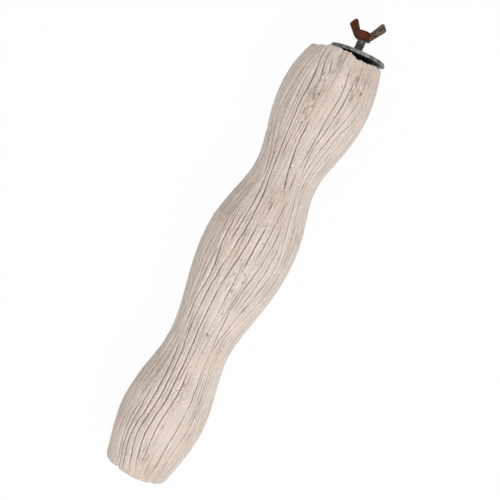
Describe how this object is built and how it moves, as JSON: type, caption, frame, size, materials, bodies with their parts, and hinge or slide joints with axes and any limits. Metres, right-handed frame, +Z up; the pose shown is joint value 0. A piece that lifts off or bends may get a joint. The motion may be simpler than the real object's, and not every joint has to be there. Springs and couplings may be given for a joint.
{
  "type": "bird perch",
  "caption": "Wavy cast mineral perch for cage birds, with bark-like grooves and a threaded stud, wide washers and a wing nut that clamp it to the bars of a cage.",
  "frame": {"origin": "on the stud's axis, on the clamping face where the inner and outer washers meet", "axes": "+X along the stud, away from the perch; +Z up when the perch is clamped to an upright cage wall; the perch body reaches towards -X"},
  "size_m": [0.3312, 0.0753, 0.062],
  "materials": {
    "cast_mineral": "matt, porous, with bark-like grooves",
    "zinc_steel": "dull grey zinc plating",
    "rusty_steel": "brown rust over grey metal"
  },
  "bodies": {
    "perch": {"perch_body": "cast_mineral", "stud": "zinc_steel", "anchor_nuts": "zinc_steel", "anchor_washer": "zinc_steel"},
    "inner_washer": {"inner_washer": "zinc_steel"},
    "outer_washer": {"outer_washer": "zinc_steel"},
    "wing_nut": {"wing_nut": "rusty_steel"}
  },
  "joints": [
    {"name": "wing_nut_turn", "type": "hinge", "parent": "perch", "child": "inner_washer", "pos_m": [0, 0, 0], "axis": [1, 0, 0], "range_deg": [-1440, 1080]},
    {"name": "wing_nut_advance", "type": "slide", "parent": "inner_washer", "child": "wing_nut", "axis": [1, 0, 0], "range_m": [-0.0051, 0.0039]},
    {"name": "outer_washer_slide", "type": "slide", "parent": "perch", "child": "outer_washer", "axis": [1, 0, 0], "range_m": [0, 0.0032]}
  ],
  "couplings": [
    {"joint": "wing_nut_advance", "follows": "wing_nut_turn", "m_per_rad": 0.00020213}
  ]
}
